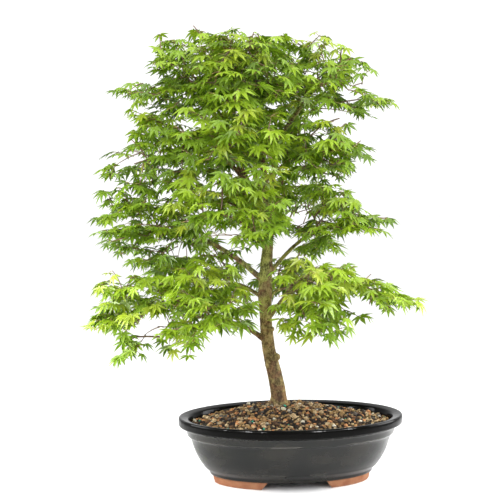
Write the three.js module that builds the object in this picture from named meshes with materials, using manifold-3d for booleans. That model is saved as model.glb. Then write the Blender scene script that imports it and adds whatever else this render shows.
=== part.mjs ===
// A Japanese maple grown as a bonsai, in an oval glazed pot that stands on four bare clay feet.
// Millimetres, +Z up, the long side of the pot along X. The photographed side faces -Y.
import * as THREE from "three";
import { mergeVertices } from "three/addons/utils/BufferGeometryUtils.js";
import Module from "manifold-3d";

const wasm = await Module();
wasm.setup();

// The pot is oval, with the same difference between its half length and half width at each height.
const POT_HALF_LENGTH = 228;
const POT_HALF_WIDTH = 170;
const OVAL = POT_HALF_LENGTH - POT_HALF_WIDTH;
const POT_HEIGHT = 131;
const POT_SEGMENTS = 36;
const GLAZE_FOOT = 15; // height of the glazed body's underside
const GAP = 0.3; // between pieces that touch

// The pot's section, up the outside to the lip and down the inside: [half length, height].
const POT_OUTSIDE = [
  [0, GLAZE_FOOT],
  [164, GLAZE_FOOT],
  [166, 18],
  [168, 23],
  [176, 32],
  [185.5, 43],
  [193, 57],
  [198, 69],
  [201, 82],
  [209, 93],
  [212.5, 105],
  [216, 110],
  [POT_HALF_LENGTH, 116],
  [227.5, 127],
  [223, POT_HEIGHT],
];
const POT_INSIDE = [
  [210, 128],
  [205, 122],
  [191, 74],
  [170, 36],
  [151, 27],
  [0, 27],
];

// The feet: what is left of a clay ring between the notches at its long sides and at its ends.
const FOOT_OUTSIDE = 161;
const FOOT_INSIDE = 138;
const SIDE_NOTCH = { top: 116, bottom: 140 };
const END_NOTCH = { top: 12, bottom: 26 };

// The soil: a mound that is level round the trunk's foot and falls to the wall.
const SOIL_TOP = 139.5;
const SOIL_EDGE = 116;
const SOIL_LEVEL_SHARE = 0.26;
const SOIL_RINGS = [1, 0.93, 0.86, 0.78, 0.7, 0.62, 0.54, 0.46, 0.37, 0.26, 0];
const SOIL_SEED = 41;
const SOIL_LUMP = 5; // from the lowest dips to the highest heaps of the coarse grit

// The tree is turned a little against the pot, and its sizes are given before that turn.
const TREE_TURN = THREE.MathUtils.degToRad(-5);
const GROUND = SOIL_TOP + GAP;

// The trunk's middle line and radius from the soil up to the fork: x, y, height, radius.
const TRUNK = [
  [-23, 64, GROUND, 19],
  [-23, 61, 160, 15.8],
  [-29, 56, 197, 14.8],
  [-43, 48, 262, 13],
  [-48, 43, 325, 11.8],
  [-49, 41, 372, 13.8],
  [-47, 40, 410, 13],
  [-43, 40, 462, 10.8],
  [-40, 40, 505, 10.2],
  [-38, 40, 524, 9],
];
const TRUNK_SIDES = 10;
const TRUNK_STEPS = 17;
const ROOT_FLARE = { height: 26, lobes: 5, depth: 0.1 };
const KNOT = { at: [-27, 45, 241], radius: 9 };

// Each bough springs from a share of its parent's length, passes its points and ends at a mass. Where
// no parent is named it is the trunk.
const BOUGHS = {
  low_left: { at: 0.35, via: [[-87, 32, 303], [-150, 14, 324], [-200, 2, 332]], radii: [5.6, 3.4] },
  low_left_front: { on: "low_left", at: 0.45, via: [[-140, -20, 324], [-150, -44, 326]], radii: [3.6, 2.8] },
  low_left_back: { at: 0.58, via: [[-96, 72, 388], [-118, 88, 390]], radii: [4.6, 3] },
  low_right: { at: 0.46, via: [[-13, 30, 362], [16, 16, 400], [58, 6, 412]], radii: [4.6, 2.9] },
  low_right_front: { on: "low_right", at: 0.42, via: [[10, -10, 382], [18, -30, 376]], radii: [3.2, 2.6] },
  low_right_back: { at: 0.55, via: [[-26, 84, 374], [-8, 106, 378]], radii: [4.2, 3] },
  mid_left: { at: 0.67, via: [[-106, 32, 446], [-160, 20, 480], [-188, 16, 490]], radii: [5.8, 3.6] },
  mid_front: { at: 0.84, via: [[-66, 4, 494], [-84, -36, 512]], radii: [4.4, 3] },
  mid_right: { at: 0.69, via: [[-5, 32, 454], [28, 24, 484], [48, 18, 494]], radii: [4.8, 3] },
  mid_back: { at: 0.9, via: [[-28, 80, 506], [-16, 106, 514]], radii: [4.2, 3] },
  top_left: { at: 0.97, via: [[-100, 30, 640], [-140, 20, 720], [-158, 14, 762]], radii: [7, 4.2] },
  top_front: { at: 0.97, via: [[-70, 8, 640], [-80, -20, 716], [-80, -32, 750]], radii: [7.5, 4.2] },
  top_right: { at: 0.97, via: [[-26, 28, 640], [2, 18, 716], [28, 10, 752]], radii: [6.8, 4] },
  top_back: { at: 0.93, via: [[-44, 84, 610], [-58, 104, 690], [-64, 112, 752]], radii: [6, 3.6] },
  high_left: { on: "top_left", at: 0.33, via: [[-138, 24, 658], [-172, 16, 666]], radii: [4.4, 3] },
  high_front: { on: "top_front", at: 0.42, via: [[-88, -24, 662], [-96, -46, 668]], radii: [4.2, 3] },
  high_right: { on: "top_right", at: 0.4, via: [[4, 20, 646], [26, 12, 652]], radii: [4.2, 3] },
  high_back: { on: "top_back", at: 0.35, via: [[-54, 108, 636], [-60, 122, 646]], radii: [4.2, 3] },
};
const BOUGH_SIDES = 6;
const BOUGH_STEPS = 4;

// Each mass of leafy twigs grows from the tip of the bough of its name: middle, half sizes.
const MASSES = {
  low_left: { middle: [-302, -14, 346], half: [128, 106, 118] },
  low_left_front: { middle: [-164, -112, 352], half: [114, 96, 106] },
  low_left_back: { middle: [-190, 150, 398], half: [138, 108, 112] },
  low_right: { middle: [152, -8, 366], half: [134, 102, 92] },
  low_right_front: { middle: [46, -100, 366], half: [108, 94, 96] },
  low_right_back: { middle: [36, 168, 392], half: [132, 106, 110] },
  mid_left: { middle: [-280, 12, 512], half: [134, 118, 116] },
  mid_front: { middle: [-108, -120, 556], half: [140, 104, 112] },
  mid_right: { middle: [104, 0, 530], half: [122, 116, 104] },
  mid_back: { middle: [-20, 174, 560], half: [142, 104, 112] },
  high_left: { middle: [-254, 8, 654], half: [138, 116, 118] },
  high_front: { middle: [-114, -120, 700], half: [134, 104, 110] },
  high_right: { middle: [80, -12, 674], half: [118, 116, 106] },
  high_back: { middle: [-56, 168, 704], half: [150, 106, 112] },
  top_left: { middle: [-214, 4, 808], half: [142, 116, 112] },
  top_front: { middle: [-84, -88, 802], half: [126, 112, 98] },
  top_right: { middle: [84, 0, 794], half: [154, 112, 104] },
  top_back: { middle: [-80, 124, 826], half: [150, 108, 102] },
};

// How a mass grows: tips are dealt out over its space, and each is joined to the nearest twig.
const TIPS_IN_MASS = 9;
const TIP_REACH = 0.76; // the tips' own space, as a share of the mass's
const TIP_LIFT = 0.26; // and how far it lies above the middle, since leaves hang down
const TIP_DROOP = 0.9; // the tips lie in a dome: how much lower the outer ones are
const TIP_DEPTH = 12; // least distance from the next mass's space
const TRIES_FOR_TIP = 14;
const WANDER_COST = 0.35; // how much a long way back to the stem counts against a nearer twig
const TWIG_RADII = [2.1, 1.7];
const TWIG_POINT = 2.5; // length of its pointed ends
const TWIG_GRAFT = 3.5; // from its tip back to where a leaf or a further twig grows from it
const STEM_LENGTH = 24;
const SPACE_MARGIN = 0.6; // kept from the next mass's space
const LIMB_MARGIN = 1;

// A leaf: its lobes' directions and lengths, as shares of the middle one's. It is more than twice
// as large as a real one, because it stands for a spray of several.
const LEAF_LENGTH = 76;
const LEAF_LOBES = [[-84, 0.76], [-42, 0.95], [0, 1], [42, 0.95], [84, 0.76]];
const LEAF_NOTCH = 0.46;
const LEAF_STALK = { length: 12, neck: 6.5, halfWidth: 2.4, sunk: 0.5 };
const LEAF_THICKNESS = 2.2;
const LEAF_DROOP = 0.36;
const LEAF_SIZES = [1.12, 0.96, 0.8]; // the first that fits is taken
const TRIES_FOR_LEAF = 24;

// Where a twig's leaves sit, as a share of its length and a turn from its way in degrees, and how
// far a leaf may swing, tilt down and roll.
const LEAF_SEATS = [
  { share: 1, turn: 0 },
  { share: 0.58, turn: 80 },
  { share: 0.58, turn: -80 },
];
const LEAF_SWING = 45;
const LEAF_TILT = [5, 60];
const LEAF_ROLL = 45;

const COLOURS = {
  glaze: new THREE.MeshStandardMaterial({ color: 0x24272a, roughness: 0.2, metalness: 0 }),
  clay: new THREE.MeshStandardMaterial({ color: 0xc27a58, roughness: 0.85, metalness: 0 }),
  soil: new THREE.MeshStandardMaterial({ color: 0x6f5540, roughness: 0.95, metalness: 0 }),
  bark: new THREE.MeshStandardMaterial({ color: 0x776a4c, roughness: 0.9, metalness: 0 }),
  leaves: new THREE.MeshStandardMaterial({ color: 0x6f9a2c, roughness: 0.6, metalness: 0 }),
};

// Solids

function solidFrom(geometry) {
  const bare = new THREE.BufferGeometry();
  bare.setAttribute("position", geometry.getAttribute("position"));
  bare.setIndex(geometry.getIndex());
  const merged = mergeVertices(bare, 1e-3);
  return new wasm.Manifold(
    new wasm.Mesh({
      numProp: 3,
      vertProperties: new Float32Array(merged.attributes.position.array),
      triVerts: new Uint32Array(merged.index.array),
    }),
  );
}

function geometryFrom(solid) {
  const mesh = solid.getMesh();
  const geometry = new THREE.BufferGeometry();
  geometry.setAttribute("position", new THREE.BufferAttribute(mesh.vertProperties, 3));
  geometry.setIndex(new THREE.BufferAttribute(mesh.triVerts, 1));
  const flat = geometry.toNonIndexed();
  flat.computeVertexNormals();
  return flat;
}

// The largest of a solid's separate bodies: what a cut leaves loose is dropped.
function mainBody(solid) {
  return solid.decompose().reduce((most, body) => (body.volume() > most.volume() ? body : most));
}

function named(name, solid, material) {
  const mesh = new THREE.Mesh(geometryFrom(solid), material);
  mesh.name = name;
  return mesh;
}

// Pot, feet and soil

// How far the oval reaches along Y where it reaches `along` along X.
function ovalReach(along) {
  const base = FOOT_INSIDE;
  return along > base ? along - OVAL : (along * (base - OVAL)) / base;
}

// A profile of [half length, height] carried round the oval.
function ovalSolid(profile) {
  const turned = new THREE.LatheGeometry(
    profile.map(([along, height]) => new THREE.Vector2(along, height)),
    POT_SEGMENTS,
  );
  turned.rotateX(Math.PI / 2);
  const position = turned.getAttribute("position");
  for (let i = 0; i < position.count; i++) {
    const x = position.getX(i);
    const y = position.getY(i);
    const along = Math.hypot(x, y);
    if (along > 0) position.setY(i, (y * ovalReach(along)) / along);
  }
  return solidFrom(turned);
}

function makePot() {
  return ovalSolid([...POT_OUTSIDE, ...POT_INSIDE]);
}

// A bar that is wider at its bottom, through the foot ring along one axis.
function notch({ top, bottom }, alongY) {
  const height = GLAZE_FOOT;
  const shape = new THREE.Shape([
    new THREE.Vector2(-bottom / 2, -1),
    new THREE.Vector2(bottom / 2, -1),
    new THREE.Vector2(top / 2, height),
    new THREE.Vector2(-top / 2, height),
  ]);
  const bar = new THREE.ExtrudeGeometry(shape, { depth: 2 * POT_HALF_LENGTH, bevelEnabled: false });
  bar.translate(0, 0, -POT_HALF_LENGTH).rotateX(Math.PI / 2);
  if (!alongY) bar.rotateZ(Math.PI / 2);
  return solidFrom(bar);
}

function makeFeet() {
  const top = GLAZE_FOOT - GAP;
  const ring = ovalSolid([
    [FOOT_INSIDE, 0],
    [FOOT_OUTSIDE - 3, 0],
    [FOOT_OUTSIDE, top],
    [FOOT_INSIDE, top],
    [FOOT_INSIDE, 0],
  ]);
  const feet = ring.subtract(notch(SIDE_NOTCH, true)).subtract(notch(END_NOTCH, false)).decompose();
  return feet.map((foot) => {
    const box = foot.boundingBox();
    const side = box.min[0] + box.max[0] < 0 ? "left" : "right";
    const face = box.min[1] + box.max[1] < 0 ? "front" : "back";
    return [`foot_${face}_${side}`, foot];
  });
}

// Where the trunk's foot stands, in the pot's own frame.
function trunkFoot() {
  const [x, y] = TRUNK[0];
  return new THREE.Vector2(x, y).rotateAround(new THREE.Vector2(), TREE_TURN);
}

function makeSoil() {
  const below = POT_INSIDE.filter(([, height]) => height < SOIL_EDGE);
  const above = POT_INSIDE[POT_INSIDE.length - below.length - 1];
  const edge = THREE.MathUtils.mapLinear(SOIL_EDGE, below[0][1], above[1], below[0][0], above[0]);
  const walls = below.reverse().map(([along, height]) => [Math.max(along - GAP, 0), height + GAP]);
  const soil = ovalSolid([...walls, ...SOIL_RINGS.map((share) => [(edge - GAP) * share, SOIL_EDGE])]);
  const foot = trunkFoot();
  const random = seeded(SOIL_SEED);
  return soil.warp((vertex) => {
    if (vertex[2] < SOIL_EDGE - 0.01) return;
    const shareX = vertex[0] / (edge - GAP);
    const shareY = vertex[1] / (edge - GAP - OVAL);
    const share = Math.hypot(shareX, shareY);
    // The mound's rings draw in round the trunk's foot, which stands off the pot's middle.
    vertex[0] += foot.x * (1 - share);
    vertex[1] += foot.y * (1 - share);
    const fall = THREE.MathUtils.smoothstep(share, SOIL_LEVEL_SHARE, 1);
    vertex[2] = THREE.MathUtils.lerp(SOIL_TOP, SOIL_EDGE, fall);
    // No lumps on the level round the trunk or along the wall.
    if (fall > 0.001 && fall < 0.999) vertex[2] += SOIL_LUMP * (random() - 0.5);
  });
}

// Trunk and boughs

// A closed limb along a curve, whose radius depends on the share of the way and the angle round it.
function limb(curve, radiusAt, sides, steps) {
  const tube = new THREE.CylinderGeometry(1, 1, 1, sides, steps);
  const chord = curve.getPoint(1).sub(curve.getPoint(0)).normalize();
  const aside = new THREE.Vector3(1, 0, 0);
  if (Math.abs(chord.x) > 0.8) aside.set(0, 1, 0);
  const position = tube.getAttribute("position");
  for (let i = 0; i < position.count; i++) {
    const share = position.getY(i) + 0.5;
    const across = new THREE.Vector2(position.getX(i), position.getZ(i));
    const way = curve.getTangent(share);
    const first = new THREE.Vector3().crossVectors(aside, way).normalize();
    const second = new THREE.Vector3().crossVectors(first, way);
    const radius = radiusAt(share, across.angle());
    const point = curve.getPoint(share);
    point.addScaledVector(first, across.x * radius).addScaledVector(second, across.y * radius);
    position.setXYZ(i, point.x, point.y, point.z);
  }
  const solid = solidFrom(tube);
  return solid.volume() > 0 ? solid : solidFrom(flipped(tube));
}

function flipped(geometry) {
  const index = geometry.getIndex();
  for (let i = 0; i < index.count; i += 3) {
    const first = index.getX(i);
    index.setX(i, index.getX(i + 2));
    index.setX(i + 2, first);
  }
  return geometry;
}

function trunkCurve() {
  return new THREE.CatmullRomCurve3(TRUNK.map(([x, y, z]) => new THREE.Vector3(x, y, z)));
}

function trunkRadius(share, angle) {
  const place = share * (TRUNK.length - 1);
  const below = Math.min(Math.floor(place), TRUNK.length - 2);
  const radius = THREE.MathUtils.lerp(TRUNK[below][3], TRUNK[below + 1][3], place - below);
  const height = trunkCurve().getPoint(share).z - GROUND;
  const flare = Math.max(0, 1 - height / ROOT_FLARE.height);
  return radius * (1 + flare * ROOT_FLARE.depth * Math.cos(ROOT_FLARE.lobes * angle));
}

// The trunk, grown by `room` on all sides when it is used to cut what meets it.
function makeTrunk(room = 0) {
  const radiusAt = (share, angle) => trunkRadius(share, angle) + room;
  const stem = limb(trunkCurve(), radiusAt, TRUNK_SIDES, TRUNK_STEPS);
  const knot = new THREE.SphereGeometry(KNOT.radius + room, 8, 6).translate(...KNOT.at);
  const level = new THREE.BoxGeometry(200, 200, 100).translate(0, 0, GROUND - 50);
  const whole = stem.add(solidFrom(knot));
  return room > 0 ? whole : whole.subtract(solidFrom(level));
}

function boughCurves() {
  const curves = { trunk: trunkCurve() };
  for (const [name, { on = "trunk", at, via }] of Object.entries(BOUGHS)) {
    const points = via.map((point) => new THREE.Vector3(...point));
    curves[name] = new THREE.CatmullRomCurve3([curves[on].getPointAt(at), ...points]);
  }
  return curves;
}

function makeBough(name, curve, room = 0) {
  const [root, tip] = BOUGHS[name].radii;
  return limb(curve, (share) => THREE.MathUtils.lerp(root, tip, share) + room, BOUGH_SIDES, BOUGH_STEPS);
}

// All limbs, each cut clear of the ones before it, and the same limbs grown by a margin.
function makeLimbs() {
  const curves = boughCurves();
  const limbs = { trunk: makeTrunk() };
  let taken = makeTrunk(GAP);
  let keepOut = makeTrunk(LIMB_MARGIN);
  for (const name of Object.keys(BOUGHS)) {
    limbs[name] = mainBody(makeBough(name, curves[name]).subtract(taken));
    taken = taken.add(makeBough(name, curves[name], GAP));
    keepOut = keepOut.add(makeBough(name, curves[name], LIMB_MARGIN));
  }
  return { curves, limbs, keepOut };
}

// Foliage

// Numbers from 0 to 1, the same on each run.
function seeded(seed) {
  let state = seed;
  return () => {
    state = (state * 16807) % 2147483647;
    return state / 2147483647;
  };
}

// How far a point lies from a mass's middle, as a squared share of its half sizes.
function farness({ middle, half }, point) {
  return middle.reduce((sum, m, axis) => sum + ((point.getComponent(axis) - m) / half[axis]) ** 2, 0);
}

// How deep a point lies in a mass's own share of the crown. Flat faces part it from the others.
function depthInOwnSpace(name, point) {
  const own = MASSES[name];
  const power = ({ middle, half }) => {
    return point.distanceToSquared(new THREE.Vector3(...middle)) - Math.min(...half) ** 2;
  };
  const depths = Object.values(MASSES).map((other) => {
    if (other === own) return Infinity;
    const between = new THREE.Vector3(...own.middle).distanceTo(new THREE.Vector3(...other.middle));
    return (power(other) - power(own)) / (2 * between);
  });
  return Math.min(...depths);
}

function inSpace(name, points, margin) {
  return points.every((p) => farness(MASSES[name], p) <= 1 && depthInOwnSpace(name, p) >= margin);
}

// Tips dealt out evenly: of several random places, the one furthest from those taken.
function dealTips(name, count, random, start) {
  const { middle, half } = MASSES[name];
  const tips = [];
  while (tips.length < count) {
    let best = null;
    let bestGap = -1;
    for (let i = 0; i < TRIES_FOR_TIP; i++) {
      const offset = half.map((size) => (2 * random() - 1) * size * TIP_REACH);
      const place = new THREE.Vector3(...middle).add(new THREE.Vector3(...offset));
      if (farness(MASSES[name], place) > TIP_REACH ** 2) continue;
      const out = (offset[0] / half[0]) ** 2 + (offset[1] / half[1]) ** 2;
      place.z += (TIP_LIFT - TIP_DROOP * out) * half[2];
      if (depthInOwnSpace(name, place) < TIP_DEPTH) continue;
      const gap = Math.min(place.distanceTo(start), ...tips.map((tip) => tip.distanceTo(place)));
      if (gap > bestGap) [best, bestGap] = [place, gap];
    }
    if (best) tips.push(best);
  }
  return tips;
}

// Joins each tip, nearest first, to the point of the growth that costs least to reach.
function growTwigs(start, way, stemRadius, tips, keepOut) {
  const stemTip = start.clone().addScaledVector(way, STEM_LENGTH);
  const joints = [{ at: start.clone().lerp(stemTip, 0.8), run: 0 }];
  const twigs = [{ from: start, to: stemTip, solid: stemSolid(start, stemTip, stemRadius) }];
  for (const tip of [...tips].sort((a, b) => a.distanceTo(start) - b.distanceTo(start))) {
    const cost = (joint) => joint.at.distanceTo(tip) + WANDER_COST * joint.run;
    const joint = joints.reduce((best, next) => (cost(next) < cost(best) ? next : best));
    const solid = twigSolid(joint.at, tip);
    if (!apart(solid, keepOut)) continue;
    twigs.push({ from: joint.at, to: tip, solid });
    const length = joint.at.distanceTo(tip);
    for (const share of [0.5, 1 - TWIG_GRAFT / length]) {
      joints.push({ at: joint.at.clone().lerp(tip, share), run: joint.run + share * length });
    }
  }
  return twigs;
}

// A twig is three-sided and pointed at both ends, so its root sinks into what it grows from.
function twigSolid(from, to) {
  const length = from.distanceTo(to);
  const [root, end] = TWIG_RADII;
  const outline = [[0, 0], [root, TWIG_POINT], [end, length - TWIG_POINT], [0, length]];
  const twig = new THREE.LatheGeometry(outline.map(([x, y]) => new THREE.Vector2(x, y)), 3);
  const way = to.clone().sub(from).normalize();
  twig.applyQuaternion(new THREE.Quaternion().setFromUnitVectors(new THREE.Vector3(0, 1, 0), way));
  twig.translate(from.x, from.y, from.z);
  return solidFrom(twig);
}

function stemSolid(from, to, radius) {
  const curve = new THREE.LineCurve3(from, to);
  return limb(curve, (share) => THREE.MathUtils.lerp(radius, TWIG_RADII[0], share), 5, 1);
}

function apart(one, other) {
  return one.intersect(other).isEmpty();
}

// The outline and the two middle points of a leaf whose root is at the origin, pointing along +X.
// Without its stalk the outline starts at the neck.
function leafPoints(stalk = true) {
  const { length, neck, halfWidth } = LEAF_STALK;
  const at = (degrees, share) => {
    const angle = THREE.MathUtils.degToRad(degrees);
    const reach = share * LEAF_LENGTH;
    const drop = -LEAF_DROOP * share * share * LEAF_LENGTH;
    return new THREE.Vector3(length + reach * Math.cos(angle), reach * Math.sin(angle), drop);
  };
  const outline = stalk ? [new THREE.Vector3(0, 0, 0)] : [];
  outline.push(new THREE.Vector3(neck, -halfWidth, 0));
  LEAF_LOBES.forEach(([degrees, share], i) => {
    if (i > 0) outline.push(at((degrees + LEAF_LOBES[i - 1][0]) / 2, LEAF_NOTCH));
    outline.push(at(degrees, share));
  });
  outline.push(new THREE.Vector3(neck, halfWidth, 0));
  const middles = [LEAF_THICKNESS / 2, -LEAF_THICKNESS / 2].map((z) => new THREE.Vector3(length, 0, z));
  return [...outline, ...middles];
}

// A leaf is two shallow cones on one outline, so it thins to its edge.
function leafGeometry(stalk = true) {
  const points = leafPoints(stalk);
  const edge = points.length - 2;
  const index = [];
  for (let i = 0; i < edge; i++) {
    const next = (i + 1) % edge;
    index.push(edge, i, next, edge + 1, next, i);
  }
  return new THREE.BufferGeometry().setFromPoints(points).setIndex(index);
}

// A leaf's place: rooted just behind its seat, pointing outwards and tilted down.
function leafMatrix(seat, yaw, tilt, roll, size) {
  const rotation = new THREE.Euler(roll, tilt, yaw, "ZYX");
  const place = new THREE.Matrix4().makeRotationFromEuler(rotation);
  const root = new THREE.Vector3(-LEAF_STALK.sunk, 0, 0).applyMatrix4(place).add(seat);
  return place.scale(new THREE.Vector3(size, size, 1)).setPosition(root);
}

// The first leaf on a seat that stays in the mass's space, off the limbs and off all others.
function fittingLeaf(name, seat, heading, random, others) {
  const between = (least, most) => THREE.MathUtils.degToRad(least + (most - least) * random());
  for (let i = 0; i < TRIES_FOR_LEAF; i++) {
    const yaw = heading + between(-LEAF_SWING, LEAF_SWING);
    const tilt = between(...LEAF_TILT);
    const roll = between(-LEAF_ROLL, LEAF_ROLL);
    for (const size of LEAF_SIZES) {
      const place = leafMatrix(seat, yaw, tilt, roll, size);
      if (!inSpace(name, leafPoints().map((point) => point.applyMatrix4(place)), SPACE_MARGIN)) continue;
      const blade = solidFrom(leafGeometry(false).applyMatrix4(place));
      if (others.every((other) => apart(blade, other))) return solidFrom(leafGeometry().applyMatrix4(place));
    }
  }
  return null;
}

function makeMass(name, index, curve, keepOut) {
  const random = seeded(5167 + 131 * index);
  const way = curve.getTangent(1);
  const start = curve.getPoint(1).addScaledVector(way, GAP);
  const tips = dealTips(name, TIPS_IN_MASS, random, start);
  const twigs = growTwigs(start, way, BOUGHS[name].radii[1], tips, keepOut);
  const middle = new THREE.Vector3(...MASSES[name].middle);
  const leaves = [];
  for (const { share, turn } of LEAF_SEATS) {
    for (const twig of twigs.slice(1)) {
      const length = twig.from.distanceTo(twig.to);
      const seat = twig.from.clone().lerp(twig.to, share * (1 - TWIG_GRAFT / length));
      const along = twig.to.clone().sub(twig.from).setZ(0).normalize();
      const out = seat.clone().sub(middle).setZ(0).normalize().add(along);
      const heading = Math.atan2(out.y, out.x) + THREE.MathUtils.degToRad(turn);
      const others = [keepOut, ...leaves, ...twigs.map(({ solid }) => solid)];
      const leaf = fittingLeaf(name, seat, heading, random, others);
      if (leaf) leaves.push(leaf);
    }
  }
  return mainBody(wasm.Manifold.union([...twigs.map(({ solid }) => solid), ...leaves]));
}

// Assembly

const plant = new THREE.Group();
plant.add(named("pot", makePot(), COLOURS.glaze));
plant.add(...makeFeet().map(([name, foot]) => named(name, foot, COLOURS.clay)));
plant.add(named("soil", makeSoil(), COLOURS.soil));

const tree = new THREE.Group();
tree.rotation.z = TREE_TURN;
const { curves, limbs, keepOut } = makeLimbs();
for (const [name, solid] of Object.entries(limbs)) {
  tree.add(named(name === "trunk" ? name : `bough_${name}`, solid, COLOURS.bark));
}
Object.keys(MASSES).forEach((name, index) => {
  tree.add(named(`foliage_${name}`, makeMass(name, index, curves[name], keepOut), COLOURS.leaves));
});
plant.add(tree);

// The origin is the middle of the underside of the whole plant's box.
plant.updateMatrixWorld(true);
const middle = new THREE.Box3().setFromObject(plant, true).getCenter(new THREE.Vector3());
plant.position.set(-middle.x, -middle.y, 0);

export default plant;
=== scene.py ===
"""A Japanese maple bonsai: bark, twigs and leaves, grit, and an oval glazed pot on clay feet."""

import math
from itertools import combinations

import bpy
import numpy as np
from mathutils import Euler, Matrix, Vector


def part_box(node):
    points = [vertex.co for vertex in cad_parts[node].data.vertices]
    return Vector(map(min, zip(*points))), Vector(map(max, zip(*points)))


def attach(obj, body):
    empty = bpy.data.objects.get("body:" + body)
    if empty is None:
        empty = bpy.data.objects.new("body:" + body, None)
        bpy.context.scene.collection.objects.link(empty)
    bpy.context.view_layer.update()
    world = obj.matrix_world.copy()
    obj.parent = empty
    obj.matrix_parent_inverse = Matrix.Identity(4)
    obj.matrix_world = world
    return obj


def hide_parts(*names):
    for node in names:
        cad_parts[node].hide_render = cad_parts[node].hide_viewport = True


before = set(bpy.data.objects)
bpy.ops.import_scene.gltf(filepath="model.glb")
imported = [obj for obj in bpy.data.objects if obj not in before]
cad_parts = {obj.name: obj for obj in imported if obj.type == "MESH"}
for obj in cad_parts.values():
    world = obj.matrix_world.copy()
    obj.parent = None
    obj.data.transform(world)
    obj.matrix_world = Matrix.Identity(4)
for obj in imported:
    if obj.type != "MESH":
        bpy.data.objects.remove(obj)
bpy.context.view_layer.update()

MM = 0.001
POT_LOW, POT_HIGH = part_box("pot")
POT_MIDDLE = np.array([(POT_LOW.x + POT_HIGH.x) / 2, (POT_LOW.y + POT_HIGH.y) / 2, 0])

# The tree is measured in millimetres from the pot's middle, turned a little on the pot.
TREE_TURN = math.radians(-5)
TREE_AXES = np.array(Matrix.Rotation(TREE_TURN, 3, "Z"))


def from_tree(points):
    """Points of the tree, in millimetres, as points of the model."""
    return np.asarray(points, float) @ TREE_AXES.T * MM + POT_MIDDLE


def from_pot(points):
    """Points along the pot, in millimetres, as points of the model."""
    return np.asarray(points, float) * MM + POT_MIDDLE


def new_object(name, data):
    made = bpy.data.objects.new(name, data)
    bpy.context.scene.collection.objects.link(made)
    return made


# Camera

CAMERA_PLACE = (-78.6, -2272.8, 563.1)
CAMERA_PITCH = 2.483
CAMERA_ROLL = 0.667
LENS = 81.26
SENSOR = 36


def set_camera():
    data = bpy.data.cameras.new("camera")
    data.lens = LENS
    data.sensor_width = SENSOR
    camera = new_object("camera", data)
    camera.location = from_tree([CAMERA_PLACE])[0]
    turn = Matrix.Rotation(TREE_TURN, 4, "Z")
    upright = Matrix.Rotation(math.radians(90 - CAMERA_PITCH), 4, "X")
    roll = Matrix.Rotation(math.radians(-CAMERA_ROLL), 4, "Z")
    camera.rotation_euler = (turn @ upright @ roll).to_euler()
    bpy.context.scene.camera = camera


set_camera()


# Finishes

class Amount:
    """A shader socket that carries a number, so finishes can be written as sums."""

    def __init__(self, finish, socket):
        self.finish = finish
        self.socket = socket

    def _maths(self, operation, first, second):
        settings = {"operation": operation}
        return self.finish.node("ShaderNodeMath", settings, {0: first, 1: second})

    def __add__(self, other):
        return self._maths("ADD", self, other)

    __radd__ = __add__

    def __rsub__(self, other):
        return self._maths("SUBTRACT", other, self)

    def __mul__(self, other):
        return self._maths("MULTIPLY", self, other)


class Finish:
    """A material, built up on the object's own coordinates."""

    def __init__(self, name, roughness, specular=0.5):
        self.material = bpy.data.materials.new(name)
        self.material.use_nodes = True
        self.nodes = self.material.node_tree.nodes
        self.links = self.material.node_tree.links
        self.shader = self.nodes["Principled BSDF"]
        self.shader.inputs["Roughness"].default_value = roughness
        self.shader.inputs["Specular IOR Level"].default_value = specular

    def feed(self, socket, value):
        if isinstance(value, Amount):
            self.links.new(value.socket, socket)
        else:
            socket.default_value = value

    def node(self, kind, settings, sockets, output=0):
        made = self.nodes.new(kind)
        for name, value in settings.items():
            setattr(made, name, value)
        for name, value in sockets.items():
            self.feed(made.inputs[name], value)
        return Amount(self, made.outputs[output])

    def set(self, socket, value):
        self.feed(self.shader.inputs[socket], value)

    def place(self, stretch=(1, 1, 1)):
        """The object's coordinates; a stretch above one draws a pattern out along that axis."""
        where = self.node("ShaderNodeTexCoord", {}, {}, "Object")
        scale = tuple(1 / s for s in stretch)
        return self.node("ShaderNodeMapping", {}, {"Vector": where, "Scale": scale})

    def noise(self, size, detail=3, stretch=(1, 1, 1), rough=0.5):
        """Soft noise from 0 to 1, with blots about `size` metres across."""
        sockets = {
            "Vector": self.place(stretch), "Scale": 1 / size, "Detail": detail, "Roughness": rough,
        }
        return self.node("ShaderNodeTexNoise", {}, sockets)

    def height(self):
        """The height above the ground in metres."""
        where = self.node("ShaderNodeTexCoord", {}, {}, "Object")
        return self.node("ShaderNodeSeparateXYZ", {}, {0: where}, 2)

    def between(self, amount, low, high):
        """0 below low, 1 above high and smooth in between."""
        sockets = {"Value": amount, "From Min": low, "From Max": high}
        return self.node("ShaderNodeMapRange", {"interpolation_type": "SMOOTHSTEP"}, sockets)

    def band(self, amount, low, middle, high):
        """1 at the middle and 0 below low and above high."""
        return self.between(amount, low, middle) * (1 - self.between(amount, middle, high))

    def mix(self, share, first, second):
        """Two colours mixed by a share."""
        sockets = {0: share, 6: opaque(first), 7: opaque(second)}
        return self.node("ShaderNodeMix", {"data_type": "RGBA"}, sockets, 2)

    def bump(self, relief, depth):
        """Relief of `depth` metres from an amount that runs from 0 to 1."""
        sockets = {"Strength": 1.0, "Distance": depth, "Height": relief}
        self.set("Normal", self.node("ShaderNodeBump", {}, sockets))


def opaque(colour):
    return colour if isinstance(colour, Amount) else (*colour, 1)


# Heights in metres where the glaze breaks paler with a painted highlight on the ridge, thinnest in
# the middle.
BELT_EDGE = (0.0925, 0.0945, 0.0965)
FOOT_EDGE = (0.0295, 0.0325, 0.036)

# Moss and algae set in above this height and are full above the next.
MOSS_FROM = (0.27, 0.4)


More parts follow.
